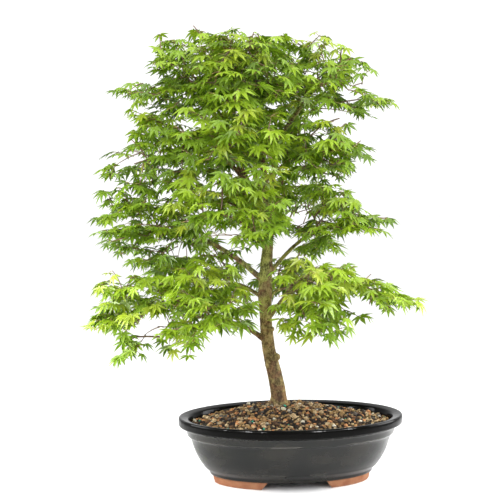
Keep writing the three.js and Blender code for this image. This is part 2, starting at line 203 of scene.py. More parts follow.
def make_body_glaze():
    """Satin black glaze that breaks paler, with a painted highlight, on the belt's edge and at the
    foot.
    """
    glaze = Finish("body_glaze", 0.24, 0.28)
    mottle = glaze.noise(0.035, 4, (1.6, 1.6, 0.8))
    fine = glaze.noise(0.004, 3)
    cloud = glaze.between(mottle, 0.35, 0.7)
    base = glaze.mix(cloud, (0.003, 0.0034, 0.0028), (0.01, 0.009, 0.0065))
    height = glaze.height()
    edges = glaze.band(height, *BELT_EDGE) * 0.3 + glaze.band(height, *FOOT_EDGE) * 0.1
    # A pale line on these edges: the glaze breaking paler, and a painted highlight.
    broken_and_highlit = edges * glaze.between(mottle, 0.35, 0.6)
    glaze.set("Base Color", glaze.mix(broken_and_highlit, base, (0.2, 0.19, 0.17)))
    glaze.set("Roughness", 0.17 + glaze.between(mottle, 0.3, 0.7) * 0.12 + fine * 0.04)
    glaze.bump(mottle * 0.5 + fine * 0.12, 0.0009)
    return glaze.material


def make_rim_glaze():
    """The same glaze where it lies thick on the rim: black and glossy."""
    glaze = Finish("rim_glaze", 0.1, 0.055)
    mottle = glaze.noise(0.02, 3)
    glaze.set("Base Color", glaze.mix(mottle, (0.0006, 0.0006, 0.0005), (0.0022, 0.0021, 0.0018)))
    glaze.set("Roughness", 0.07 + mottle * 0.08)
    glaze.bump(glaze.noise(0.012, 2), 0.0004)
    return glaze.material


def make_clay():
    """Bare fired clay."""
    clay = Finish("clay", 0.85, 0.25)
    cloud = clay.noise(0.018, 4)
    grain = clay.noise(0.0016, 3)
    base = clay.mix(clay.between(cloud, 0.3, 0.7), (0.212, 0.072, 0.028), (0.285, 0.126, 0.058))
    specks = clay.between(grain, 0.62, 0.72) * 0.5
    clay.set("Base Color", clay.mix(specks, base, (0.17, 0.06, 0.03)))
    clay.set("Roughness", 0.78 + grain * 0.15)
    clay.bump(grain, 0.0005)
    return clay.material


def make_bark():
    """Tan bark in light and dark blots, with brown scars across it and green patches higher up."""
    bark = Finish("bark", 0.8, 0.16)
    patches = bark.noise(0.034, 4, (1, 1, 1.5), 0.6)
    blots = bark.noise(0.011, 4, (1, 1, 1.5), 0.65)
    scars = bark.noise(0.02, 3, (1.5, 1.5, 0.7), 0.6)
    grain = bark.noise(0.0022, 4, (1, 1, 1.8), 0.7)
    tone = bark.between(blots * 0.5 + grain * 0.5, 0.4, 0.6)
    tan = bark.mix(tone, (0.055, 0.036, 0.009), (0.265, 0.2, 0.074))
    brown = bark.mix(tone, (0.045, 0.021, 0.007), (0.2, 0.112, 0.045))
    green = bark.mix(tone, (0.054, 0.058, 0.007), (0.345, 0.365, 0.072))
    mossy = bark.between(patches, 0.42, 0.54) * bark.between(bark.height(), *MOSS_FROM)
    base = bark.mix(bark.between(scars, 0.46, 0.58), tan, brown)
    bark.set("Base Color", bark.mix(mossy * 0.85, base, green))
    bark.set("Roughness", 0.72 + grain * 0.2)
    bark.bump(blots * 0.7 + grain * 0.3, 0.002)
    return bark.material


def make_young_bark(name, dark, light):
    """Smooth skin of twigs and leaf stalks."""
    skin = Finish(name, 0.6, 0.35)
    cloud = skin.noise(0.02, 2)
    skin.set("Base Color", skin.mix(cloud, dark, light))
    skin.bump(skin.noise(0.002, 2), 0.0003)
    return skin.material


def make_leaf_finish(name, colour):
    """One plain tint of leaf, with a faint leathery relief."""
    leaf = Finish(name, 0.45, 0.3)
    leaf.set("Base Color", (*colour, 1))
    leaf.bump(leaf.noise(0.004, 2), 0.0005)
    return leaf.material


def make_stone(name, dark, light):
    """One kind of grit."""
    stone = Finish(name, 0.82, 0.12)
    blots = stone.noise(0.004, 4)
    stone.set("Base Color", stone.mix(stone.between(blots, 0.3, 0.7), dark, light))
    stone.bump(stone.noise(0.0012, 3), 0.0006)
    return stone.material


def make_earth_and_gap_shade():
    earth_and_gap_shade = Finish("earth_and_gap_shade", 0.95, 0.08)
    clods = earth_and_gap_shade.noise(0.006, 4)
    # Dark soil, darkened further as painted shade in the gaps between the grains.
    earth_and_gap_shade.set("Base Color", earth_and_gap_shade.mix(clods, (0.005, 0.0025, 0.0015), (0.026, 0.015, 0.008)))
    earth_and_gap_shade.bump(clods, 0.003)
    return earth_and_gap_shade.material


BODY_GLAZE = make_body_glaze()
RIM_GLAZE = make_rim_glaze()
CLAY = make_clay()
BARK = make_bark()
EARTH_AND_GAP_SHADE = make_earth_and_gap_shade()
TWIG_SKIN = make_young_bark("twig_skin", (0.085, 0.03, 0.014), (0.2, 0.13, 0.055))
STALK_SKIN = make_young_bark("stalk_skin", (0.2, 0.07, 0.03), (0.26, 0.26, 0.05))

# Leaf tints from painted shade inside the crown to the youngest tips in painted light, and a painted
# sheen.
LEAF_COLOURS = {
    "shaded": (0.108, 0.195, 0.007),
    "deep": (0.168, 0.287, 0.008),
    "green": (0.238, 0.366, 0.01),
    "fresh_and_lit": (0.268, 0.36, 0.014),
    "young_and_lit": (0.315, 0.382, 0.024),
    "painted_sheen": (0.34, 0.46, 0.14),
}
LEAF_TINTS = [make_leaf_finish("leaf_" + name, tint) for name, tint in LEAF_COLOURS.items()]

# Grit by kind: its share, dark tone and light tone. The green grains come last and are smaller.
GRIT_SHARES = {
    "tan": (0.21, (0.11, 0.058, 0.02), (0.29, 0.178, 0.07)),
    "beige": (0.18, (0.21, 0.14, 0.067), (0.46, 0.34, 0.19)),
    "brown": (0.16, (0.034, 0.016, 0.007), (0.12, 0.062, 0.026)),
    "orange": (0.12, (0.25, 0.095, 0.03), (0.5, 0.24, 0.098)),
    "grey": (0.06, (0.04, 0.035, 0.029), (0.15, 0.128, 0.1)),
    "dark": (0.225, (0.005, 0.0032, 0.002), (0.024, 0.016, 0.01)),
    "pale": (0.033, (0.38, 0.34, 0.26), (0.62, 0.56, 0.45)),
    "green": (0.012, (0.006, 0.17, 0.1), (0.02, 0.36, 0.23)),
}
STONES = [make_stone("grit_" + name, *tones) for name, (_, *tones) in GRIT_SHARES.items()]


# Work at the bench

def take_up(*pieces):
    bpy.ops.object.select_all(action="DESELECT")
    for piece in pieces:
        piece.select_set(True)
    bpy.context.view_layer.objects.active = pieces[0]


def finish_modifier(piece, kind, **settings):
    """Adds a modifier to a piece and applies it."""
    take_up(piece)
    modifier = piece.modifiers.new(kind.lower(), kind)
    for name, value in settings.items():
        setattr(modifier, name, value)
    bpy.ops.object.modifier_apply(modifier=modifier.name)


def settle(piece):
    """Puts a piece's place into its mesh."""
    take_up(piece)
    bpy.ops.object.transform_apply(location=True, rotation=True, scale=True)


def smooth(piece):
    take_up(piece)
    bpy.ops.object.shade_smooth()


def cover(piece, material):
    piece.data.materials.clear()
    piece.data.materials.append(material)


def hand_over(piece, slot, *nodes):
    """The piece rides on the plant and stands for its nodes; its slot is not used."""
    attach(piece, "root")
    if nodes:
        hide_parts(*nodes)


def joined_mesh(name, batches, materials):
    """One piece from many small shapes: each is (points, faces, material index)."""
    points = np.concatenate([b[0] for b in batches])
    counts = np.cumsum([0] + [len(b[0]) for b in batches])
    faces = np.concatenate([b[1] + start for b, start in zip(batches, counts)])
    tints = np.concatenate([np.full(len(b[1]), b[2]) for b in batches])
    mesh = bpy.data.meshes.new(name)
    mesh.from_pydata(points.tolist(), [], faces.tolist())
    for material in materials:
        mesh.materials.append(material)
    mesh.polygons.foreach_set("material_index", tints.astype(np.int32))
    mesh.update()
    return new_object(name, mesh)


# Pot

# The oval is as much longer than wide at every height, down to a base within which it shrinks to
# the middle.
POT_HALF_LENGTH = (POT_HIGH.x - POT_LOW.x) / 2 / MM
OVAL = POT_HALF_LENGTH - (POT_HIGH.y - POT_LOW.y) / 2 / MM
OVAL_BASE = 138
POT_RING_SIDES = 72

# Up the outside, over the rim and down the inside: half length, height.
POT_PROFILE = [
    (150, 15), (161, 15), (164, 15.3), (165.4, 17), (166, 19.5), (166.8, 22), (169.6, 24.6),
    (173.8, 28.4), (176.6, 31), (178, 33.6), (185.4, 43), (192.8, 57), (198, 69), (201.4, 82),
    (204.4, 89.5), (206.8, 92.4), (209.4, 93.4), (210.4, 95), (211.6, 100.5), (213, 106),
    (215.4, 109.4), (221.4, 111.2), (226, 112.6), (228, 115.4), (228.3, 119), (228.3, 124),
    (227.8, 127.8), (226.6, 130), (224.6, 130.9), (220, 130.2), (214, 129), (210, 128),
    (207.9, 126.6), (206.9, 124.6), (205.8, 121), (199.4, 100), (191, 74), (170, 36), (150, 27),
]
RIM_FROM = 110.5

ARRIS_WIDTH = 1.3
WELD = 0.01


def oval_half_width(along):
    return along - OVAL if along > OVAL_BASE else along * (OVAL_BASE - OVAL) / OVAL_BASE


def make_pot():
    """Drawn up ring by ring from its underside, like a thrown wall."""
    along, height = POT_PROFILE[0]
    middle = tuple(POT_MIDDLE + [0, 0, height * MM])
    bpy.ops.mesh.primitive_circle_add(
        vertices=POT_RING_SIDES, radius=1, fill_type="NGON", location=middle
    )
    pot = bpy.context.object
    pot.name = "glazed_pot"
    bpy.ops.object.mode_set(mode="EDIT")
    bpy.ops.mesh.select_all(action="SELECT")
    size = (along * MM, oval_half_width(along) * MM, 1)
    bpy.ops.transform.resize(value=size, center_override=middle)
    for (last, low), (along, height) in zip(POT_PROFILE, POT_PROFILE[1:]):
        bpy.ops.mesh.extrude_region()
        bpy.ops.transform.translate(value=(0, 0, (height - low) * MM))
        across = oval_half_width(along) / oval_half_width(last)
        bpy.ops.transform.resize(value=(along / last, across, 1), center_override=middle)
    bpy.ops.mesh.select_all(action="SELECT")
    bpy.ops.mesh.normals_make_consistent(inside=False)
    bpy.ops.object.mode_set(mode="OBJECT")
    settle(pot)
    finish_modifier(pot, "SUBSURF", levels=2, render_levels=2)
    for material in (BODY_GLAZE, RIM_GLAZE):
        pot.data.materials.append(material)
    for face in pot.data.polygons:
        face.material_index = int(face.center.z > RIM_FROM * MM)
    smooth(pot)
    hand_over(pot, "glaze", "pot")


def make_feet():
    """The clay feet with their arrises rubbed round."""
    for name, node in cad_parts.items():
        if not name.startswith("foot_"):
            continue
        foot = new_object("clay_" + name, node.data.copy())
        cover(foot, CLAY)
        take_up(foot)
        bpy.ops.object.mode_set(mode="EDIT")
        bpy.ops.mesh.select_all(action="SELECT")
        bpy.ops.mesh.remove_doubles(threshold=WELD * MM)
        bpy.ops.mesh.dissolve_limited(angle_limit=math.radians(1))
        bpy.ops.object.mode_set(mode="OBJECT")
        finish_modifier(
            foot, "BEVEL", width=ARRIS_WIDTH * MM, segments=3,
            limit_method="ANGLE", angle_limit=math.radians(35),
        )
        bpy.ops.object.shade_smooth_by_angle(angle=math.radians(40))
        hand_over(foot, "clay", name)


# Numbers from chance, the same on each run

MULTIPLIER = 16807
MODULUS = 2147483647
GRIT_SEED = 77
FIRST_MASS_SEED = 5167
MASS_SEED_STEP = 131


class Chance:
    """Draws numbers that look like chance and depend on the seed alone."""

    def __init__(self, seed):
        self.state = seed

    def share(self):
        self.state = self.state * MULTIPLIER % MODULUS
        return self.state / MODULUS

    def between(self, low, high):
        return low + (high - low) * self.share()


# Soil and grit

# The mound's edge in the pot, a height above it all, and how far grains stay from wall and trunk.
SOIL_EDGE = 116
SOIL_HALF_LENGTH = 202.9
ABOVE_SOIL = 300
WALL_BERTH = 3
TRUNK_BERTH = 16.5

# How many grains are tried for, and their least and greatest size.
GRIT_SIZES = [(480, 9, 13.5), (1150, 6.5, 9), (1500, 4, 6.5)]
TRIES_FOR_GRAIN = 6

# The least distance of two grains, as a share of their sizes together.
GRAIN_SPACING = 0.36
GRAIN_LIFT = (-0.1, 0.2)
GREEN_GRAIN_SIZE = 0.6

# The sides of a twenty-faced grain of unit radius are a little shorter than this.
GRAIN_SIDE = 1.1


def soil_height(x, y):
    """The height of the lumpy mound at a place of the pot, in millimetres."""
    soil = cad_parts["soil"]
    into_soil = soil.matrix_world.inverted()
    above = into_soil @ Vector(from_pot([(x, y, ABOVE_SOIL)])[0])
    met, point, _, _ = soil.ray_cast(above, into_soil.to_3x3() @ Vector((0, 0, -1)))
    return (soil.matrix_world @ point).z / MM if met else SOIL_EDGE


def grain_shape():
    """A twenty-faced pebble of unit radius, on the corners of three golden rectangles."""
    golden = (1 + 5 ** 0.5) / 2
    rectangle = [(s, t * golden, 0) for s in (-1, 1) for t in (-1, 1)]
    points = np.concatenate([np.roll(rectangle, shift, axis=1) for shift in range(3)])
    points /= np.linalg.norm(points[0])
    faces = []
    for a, b, c in combinations(range(len(points)), 3):
        sides = [(a, b), (b, c), (a, c)]
        if all(np.linalg.norm(points[i] - points[j]) < GRAIN_SIDE for i, j in sides):
            out = np.dot(np.cross(points[b] - points[a], points[c] - points[a]), points[a])
            faces.append((a, b, c) if out > 0 else (a, c, b))
    return points, np.array(faces)


def pick_kind(share):
    """The kind that a share of all grains falls on."""
    for index, (part, _, _) in enumerate(GRIT_SHARES.values()):
        share -= part
        if share <= 0:
            return index
    return 0


def free_place(least, most, taken, chance):
    """A place and a size for one more grain, or None where each try is too near another's."""
    foot = (TREE_AXES @ [*TRUNK[0][:2], 0])[:2]
    half_length = SOIL_HALF_LENGTH - WALL_BERTH
    half_width = half_length - OVAL
    for _ in range(TRIES_FOR_GRAIN):
        reach = math.sqrt(chance.share())
        turn = chance.between(0, math.tau)
        x = reach * half_length * math.cos(turn)
        y = reach * half_width * math.sin(turn)
        size = chance.between(least, most)
        gaps = np.hypot(taken[:, 0] - x, taken[:, 1] - y) - GRAIN_SPACING * (taken[:, 2] + size)
        if math.dist((x, y), foot) >= TRUNK_BERTH and (gaps >= 0).all():
            return x, y, size
    return None


def weathered(points, size, chance):
    """A grain knocked about, flattened and turned by chance."""
    rough = np.array([1 + chance.between(-0.2, 0.2) for _ in points])[:, None]
    stretch = [1, chance.between(0.65, 0.95), chance.between(0.5, 0.8)]
    lean = [chance.between(-0.6, 0.6), chance.between(-0.6, 0.6)]
    spin = Euler([*lean, chance.between(0, 6.3)])
    return (points * rough * stretch) @ np.array(spin.to_matrix()).T * size / 2


def make_grit():
    """Loose grains over the mound, large ones first and small ones in between."""
    chance = Chance(GRIT_SEED)
    points, faces = grain_shape()
    batches = []
    taken = np.zeros((0, 3))
    for least, most in (sizes for count, *sizes in GRIT_SIZES for _ in range(count)):
        place = free_place(least, most, taken, chance)
        if place is None:
            continue
        taken = np.vstack([taken, place])
        x, y, size = place
        grain = weathered(points, size, chance)
        height = soil_height(x, y) + size * chance.between(*GRAIN_LIFT)
        kind = pick_kind(chance.share())
        if kind == len(STONES) - 1:
            grain *= GREEN_GRAIN_SIZE
        batches.append((from_pot(grain + [x, y, height]), faces, kind))
    grit = joined_mesh("grit", batches, STONES)
    hand_over(grit, "soil")
    cover(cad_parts["soil"], EARTH_AND_GAP_SHADE)


# Trunk and boughs

# The soil's level round the trunk.
GROUND = 139.8

# The trunk's middle line and radius from the soil up to the fork: x, y, height, radius.
TRUNK = [
    (-23, 64, GROUND, 19), (-23, 61, 160, 15.8), (-29, 56, 197, 14.8), (-43, 48, 262, 13),
    (-48, 43, 325, 11.8), (-49, 41, 372, 13.8), (-47, 40, 410, 13), (-43, 40, 462, 10.8),
    (-40, 40, 505, 10.2), (-38, 40, 524, 9),
]

# Knobs and healed cuts on the trunk: place and radius.
KNOTS = [
    ((-27, 45, 241), 8.5), ((-50, 31, 370), 7), ((-41, 38, 383), 8),
    ((-53, 36, 345), 7), ((-36, 44, 214), 6), ((-36, 35, 300), 6),
]

# Each bough springs from a share of its parent's length: parent, share, points, and the radii at
# its root and tip.
BOUGHS = {
    "low_left": ("trunk", 0.35, [(-87, 32, 303), (-150, 14, 324), (-200, 2, 332)], 5.6, 3.4),
    "low_left_front": ("low_left", 0.45, [(-140, -20, 324), (-150, -44, 326)], 3.6, 2.8),
    "low_left_back": ("trunk", 0.58, [(-96, 72, 388), (-118, 88, 390)], 4.6, 3),
    "low_right": ("trunk", 0.46, [(-13, 30, 362), (16, 16, 400), (58, 6, 412)], 4.6, 2.9),
    "low_right_front": ("low_right", 0.42, [(10, -10, 382), (18, -30, 376)], 3.2, 2.6),
    "low_right_back": ("trunk", 0.55, [(-26, 84, 374), (-8, 106, 378)], 4.2, 3),
    "mid_left": ("trunk", 0.67, [(-106, 32, 446), (-160, 20, 480), (-188, 16, 490)], 5.8, 3.6),
    "mid_front": ("trunk", 0.84, [(-66, 4, 494), (-84, -36, 512)], 4.4, 3),
    "mid_right": ("trunk", 0.69, [(-5, 32, 454), (28, 24, 484), (48, 18, 494)], 4.8, 3),
    "mid_back": ("trunk", 0.9, [(-28, 80, 506), (-16, 106, 514)], 4.2, 3),
    "top_left": ("trunk", 0.97, [(-100, 30, 640), (-140, 20, 720), (-158, 14, 762)], 7, 4.2),
    "top_front": ("trunk", 0.97, [(-70, 8, 640), (-80, -20, 716), (-80, -32, 750)], 7.5, 4.2),
    "top_right": ("trunk", 0.97, [(-26, 28, 640), (2, 18, 716), (28, 10, 752)], 6.8, 4),
    "top_back": ("trunk", 0.93, [(-44, 84, 610), (-58, 104, 690), (-64, 112, 752)], 6, 3.6),
    "high_left": ("top_left", 0.33, [(-138, 24, 658), (-172, 16, 666)], 4.4, 3),
    "high_front": ("top_front", 0.42, [(-88, -24, 662), (-96, -46, 668)], 4.2, 3),
    "high_right": ("top_right", 0.4, [(4, 20, 646), (26, 12, 652)], 4.2, 3),
    "high_back": ("top_back", 0.35, [(-54, 108, 636), (-60, 122, 646)], 4.2, 3),
}


LINE_STEPS = 200
LEAST_STEP = 1e-4


class Line:
    """A smooth line through points, whose knots lie at the root of the points' distances."""

    def __init__(self, points):
        points = [Vector(p) for p in points]
        first = points[0] * 2 - points[1]
        last = points[-1] * 2 - points[-2]
        self.points = [first, *points, last]
        steps = [self.point(i / LINE_STEPS) for i in range(LINE_STEPS + 1)]
        lengths = [(b - a).length for a, b in zip(steps, steps[1:])]
        self.run = np.concatenate([[0], np.cumsum(lengths)])

    def point(self, share):
        place = share * (len(self.points) - 3)
        i = min(int(place), len(self.points) - 4)
        t = place - i
        a, b, c, d = self.points[i:i + 4]
        spans = [(q - p).length ** 0.5 for p, q in ((a, b), (b, c), (c, d))]
        before, here, after = (max(span, LEAST_STEP) for span in spans)
        way_in = ((b - a) / before - (c - a) / (before + here) + (c - b) / here) * here
        way_out = ((c - b) / here - (d - b) / (here + after) + (d - c) / after) * here
        square = -3 * b + 3 * c - 2 * way_in - way_out
        cube = 2 * b - 2 * c + way_in + way_out
        return b + way_in * t + square * t * t + cube * t * t * t

    def way(self, share):
        low = max(share - LEAST_STEP, 0)
        high = min(share + LEAST_STEP, 1)
        return (self.point(high) - self.point(low)).normalized()

    def point_along(self, share):
        """The point at a share of the line's length."""
        shares = np.linspace(0, 1, LINE_STEPS + 1)
        return self.point(float(np.interp(share * self.run[-1], self.run, shares)))


def limb_lines():
    """The middle lines of the trunk and of each bough, from its root in its parent."""
    lines = {"trunk": Line([p[:3] for p in TRUNK])}
    for name, (parent, share, points, _, _) in BOUGHS.items():
        lines[name] = Line([lines[parent].point_along(share), *points])
    return lines


LIMB_LINES = limb_lines()


def draw_limb(name, line, radius_at, steps):
    """A round limb drawn as a path with a thickness at each point, then made a mesh."""
    bpy.ops.curve.primitive_nurbs_path_add()
    path = bpy.context.object
    path.name = name
    path.data.splines.clear()
    spline = path.data.splines.new("POLY")
    spline.points.add(steps)
    shares = [i / steps for i in range(steps + 1)]
    places = from_tree([line.point(share) for share in shares])
    for knot, share, place in zip(spline.points, shares, places):
        knot.co = (*place, 1)
        knot.radius = radius_at(share) * MM
    path.location = (0, 0, 0)
    path.data.dimensions = "3D"
    path.data.bevel_depth = 1
    path.data.bevel_resolution = 4
    path.data.use_fill_caps = True
    take_up(path)
    bpy.ops.object.convert(target="MESH")
    return bpy.context.object


# How many lengths a limb is drawn in.
TRUNK_STEPS = 40
BOUGH_STEPS = 16
ROOT_STEPS = 8

# Where a bough springs from its parent it swells into a collar: how much, and over what share.
COLLAR_SWELL = 0.39
COLLAR_SHARE = 0.22


def bough_radius(name):
    root, tip = BOUGHS[name][3:]

    def radius_at(share):
        collar = root * COLLAR_SWELL * max(0, 1 - share / COLLAR_SHARE) ** 2
        return root + (tip - root) * share + collar

    return radius_at


# Where roots flare from the trunk's foot: direction in degrees and reach. Each climbs over a
# shoulder, so far in and up from its foot, and ends in the trunk.
ROOT_LOBES = [(15, 15.5), (88, 13.5), (160, 15), (232, 14), (304, 15.5)]
ROOT_RADII = (6.5, 3.5)
SHOULDER_IN = 3
SHOULDER_UP = 12
ROOT_END_REACH = 7
ROOT_END = Vector((-3, 0, 44))


def draw_root(turn, reach):
    """A root's shoulder, from the soil up into the trunk."""
    out = Vector((math.cos(math.radians(turn)), math.sin(math.radians(turn)), 0))
    foot = Vector((*TRUNK[0][:2], GROUND))
    shoulder = foot + out * (reach - SHOULDER_IN) + Vector((0, 0, SHOULDER_UP))
    end = foot + out * ROOT_END_REACH + ROOT_END
    low, high = ROOT_RADII
    line = Line([foot + out * reach, shoulder, end])
    return draw_limb("root_flare", line, lambda share: low + (high - low) * share, ROOT_STEPS)


# The bark's relief, in metres: how large its forms are and how deep.
BARK_RELIEF = {"scales": (0.011, 0.0016), "ridges": (0.0042, 0.0011)}
BARK_STRETCH = 2.6


def press_bark_relief(piece):
    """Scales and upright ridges pressed into the bark."""
    grain = new_object("grain_of_bark", None)
    grain.scale = (1, 1, BARK_STRETCH)
    bpy.context.view_layer.update()
    for name, (size, depth) in BARK_RELIEF.items():
        pattern = bpy.data.textures.new("bark_" + name, "CLOUDS")
        pattern.noise_scale = size
        pattern.noise_depth = 2
        finish_modifier(
            piece, "DISPLACE", texture=pattern, texture_coords="OBJECT",
            texture_coords_object=grain, strength=depth, mid_level=0.5,
        )
    bpy.data.objects.remove(grain)


BARK_THICKNESS = 0.7
WOOD_MESH = 1.2


def trunk_radius(share):
    """The trunk's radius with its bark."""
    wood = np.interp(share * (len(TRUNK) - 1), range(len(TRUNK)), [p[3] for p in TRUNK])
    return float(wood) + BARK_THICKNESS


def make_wood():
    """Trunk and boughs grown together, with the bark's relief."""
    parts = [draw_limb("trunk_wood", LIMB_LINES["trunk"], trunk_radius, TRUNK_STEPS)]
    for name in BOUGHS:
        parts.append(draw_limb("bough_wood", LIMB_LINES[name], bough_radius(name), BOUGH_STEPS))
    for middle, radius in KNOTS:
        bpy.ops.mesh.primitive_uv_sphere_add(
            segments=16, ring_count=10, radius=radius * MM, location=from_tree([middle])[0]
        )
        parts.append(bpy.context.object)
    parts += [draw_root(turn, reach) for turn, reach in ROOT_LOBES]
    take_up(*parts)
    bpy.ops.object.join()
    wood = bpy.context.object
    wood.name = "bark_and_boughs"
    settle(wood)
    finish_modifier(wood, "REMESH", mode="VOXEL", voxel_size=WOOD_MESH * MM)
    finish_modifier(wood, "SMOOTH", factor=0.5, iterations=6)
    press_bark_relief(wood)
    cover(wood, BARK)
    smooth(wood)
    hand_over(wood, "bark", "trunk", *("bough_" + name for name in BOUGHS))


# Foliage

# Each mass of leafy twigs grows from the tip of the bough of its name: middle, half sizes.
MASSES = {
    "low_left": ((-302, -14, 346), (128, 106, 118)),
    "low_left_front": ((-164, -112, 352), (114, 96, 106)),
    "low_left_back": ((-190, 150, 398), (138, 108, 112)),
    "low_right": ((152, -8, 366), (134, 102, 92)),
    "low_right_front": ((46, -100, 366), (108, 94, 96)),
    "low_right_back": ((36, 168, 392), (132, 106, 110)),
    "mid_left": ((-280, 12, 512), (134, 118, 116)),
    "mid_front": ((-108, -120, 556), (140, 104, 112)),
    "mid_right": ((104, 0, 530), (122, 116, 104)),
    "mid_back": ((-20, 174, 560), (142, 104, 112)),
    "high_left": ((-254, 8, 654), (138, 116, 118)),
    "high_front": ((-114, -120, 700), (134, 104, 110)),
    "high_right": ((80, -12, 674), (118, 116, 106)),
    "high_back": ((-56, 168, 704), (150, 106, 112)),
    "top_left": ((-214, 4, 808), (142, 116, 112)),
    "top_front": ((-84, -88, 802), (126, 112, 98)),
    "top_right": ((84, 0, 794), (154, 112, 104)),
    "top_back": ((-80, 124, 826), (150, 108, 102)),
}

# How a mass grows: its main tips are dealt out first and finer ones between them, each within a
# share of the mass's half sizes and at least so deep in its own space.
MAIN_TIPS = 9
FINE_TIPS = 64
MAIN_REACH = 0.76
FINE_REACH = 0.88
MAIN_DEPTH = 12
FINE_DEPTH = 4
TRIES_FOR_TIP = 14

# The tips lie in a dome: how far its top is above the mass's middle, and how far its edge drops.
TIP_LIFT = 0.26
TIP_DROOP = 0.9

# How much a long way back to the stem counts against a nearer twig.
WANDER_COST = 0.35

# The stem starts in its bough's tip, and the first twig leaves it at a share of its length.
STEM_ROOT = 3
STEM_LENGTH = 24
STEM_CLEARANCE = 0.3
FIRST_JOINT = 0.8
TWIG_GRAFT = 3.5
TWIG_RADII = {"stem": (3.0, 2.1), "main": (2.0, 1.0), "fine": (1.25, 0.6)}
TWIG_BEND = 0.07
TWIG_SHARES = (0, 0.25, 0.5, 0.75, 1)

SPACES = list(MASSES.values())
MIDDLES = np.array([middle for middle, _ in SPACES], float)
LEAST_HALVES = np.array([min(half) for _, half in SPACES], float)


def farness(index, point):
    """How far a point lies from a mass's middle, as a squared share of its half sizes."""
    middle, half = SPACES[index]
    return float((((np.array(point) - middle) / half) ** 2).sum())


def depth_in_own_space(index, point):
    """How deep a point lies in a mass's own share of the crown."""
    power = ((MIDDLES - np.array(point)) ** 2).sum(axis=1) - LEAST_HALVES ** 2
    apart = np.linalg.norm(MIDDLES - MIDDLES[index], axis=1)
    apart[index] = 1
    depths = (power - power[index]) / (2 * apart)
    depths[index] = math.inf
    return float(depths.min())


def deal_tips(index, count, reach, depth, chance, taken):
    """Of several places by chance, the one furthest from those taken becomes the next tip."""
    middle, half = SPACES[index]
    tips = []
    while len(tips) < count:
        best = None
        best_gap = -1
        for _ in range(TRIES_FOR_TIP):
            offset = [(2 * chance.share() - 1) * size * reach for size in half]
            place = Vector([m + o for m, o in zip(middle, offset)])
            if farness(index, place) > reach ** 2:
                continue
            out = (offset[0] / half[0]) ** 2 + (offset[1] / half[1]) ** 2
            place.z += (TIP_LIFT - TIP_DROOP * out) * half[2]
            if depth_in_own_space(index, place) < depth:
                continue
            gap = min((place - other).length for other in taken + tips)
            if gap > best_gap:
                best, best_gap = place, gap
        if best:
            tips.append(best)
    return tips


def grow(joints, tips, start, kind):
    """Joins each tip, nearest first, to the point of the growth that costs least to reach."""
    twigs = []
    for tip in sorted(tips, key=lambda place: (place - start).length):
        cheapest = min(joints, key=lambda joint: (joint[0] - tip).length + WANDER_COST * joint[1])
        at, run, bearer = cheapest
        length = (tip - at).length
        twigs.append((at, tip, kind, bearer))
        for share in (0.5, 1 - TWIG_GRAFT / length):
            joints.append((at.lerp(tip, share), run + share * length, tip))
    return twigs


# Lobes of a leaf: direction in degrees and length. The middle lobe has length one, along +X.
LEAF_LOBES = [(-120, 0.34), (-76, 0.7), (-37, 0.92), (0, 1), (37, 0.92), (76, 0.7), (120, 0.34)]
LEAF_NOTCH = 0.29
NOTCH_LIFT = 0.1
LEAF_BASE = 0.12
LEAF_BASE_SPREAD = 16

# Along a lobe, as shares of its length: where its rib sinks in, and its widest place.
RIB_START = 0.34
LOBE_BELLY = 0.5
LOBE_HALF_WIDTH = 0.122
LEAST_WIDTH = 0.35


def leaf_shape(droop, fold):
    """Points and faces of one leaf: each lobe has a sunken rib and thins to a point."""
    points = [(0, 0, 0)]
    faces = []

    def add(angle, reach, across=0, lift=0.0):
        turn = math.radians(angle)
        x = reach * math.cos(turn) - across * math.sin(turn)
        y = reach * math.sin(turn) + across * math.cos(turn)
        points.append((x, y, lift - droop * reach * reach))
        return len(points) - 1

    angles = [angle for angle, _ in LEAF_LOBES]
    first = 2 * angles[0] - angles[1] + LEAF_BASE_SPREAD
    last = 2 * angles[-1] - angles[-2] - LEAF_BASE_SPREAD
    between = [(a + b) / 2 for a, b in zip(angles, angles[1:])]
    lift = fold * NOTCH_LIFT
    notches = [add(first, LEAF_BASE, 0, lift)]
    notches += [add(angle, LEAF_NOTCH, 0, lift) for angle in between]
    notches.append(add(last, LEAF_BASE, 0, lift))
    for (angle, length), right, left in zip(LEAF_LOBES, notches, notches[1:]):
        rib = add(angle, RIB_START * length)
        faces += [(0, right, rib), (0, rib, left)]
        wide = LOBE_HALF_WIDTH * (LEAST_WIDTH + (1 - LEAST_WIDTH) * length)
        belly = add(angle, LOBE_BELLY * length)
        belly_right = add(angle, LOBE_BELLY * length, -wide, fold * wide)
        belly_left = add(angle, LOBE_BELLY * length, wide, fold * wide)
        faces += [(rib, right, belly_right), (rib, belly_right, belly)]
        faces += [(left, rib, belly), (left, belly, belly_left)]
        tip = add(angle, length)
        faces += [(belly, belly_right, tip), (belly, tip, belly_left)]
    return np.array(points), np.array(faces)


# Leaves from flat to hanging, each with its droop and fold.
LEAF_SHAPES = [leaf_shape(*form) for form in ((0.05, 0.5), (0.12, 0.3), (0.22, 0.6), (0.34, 0.2))]


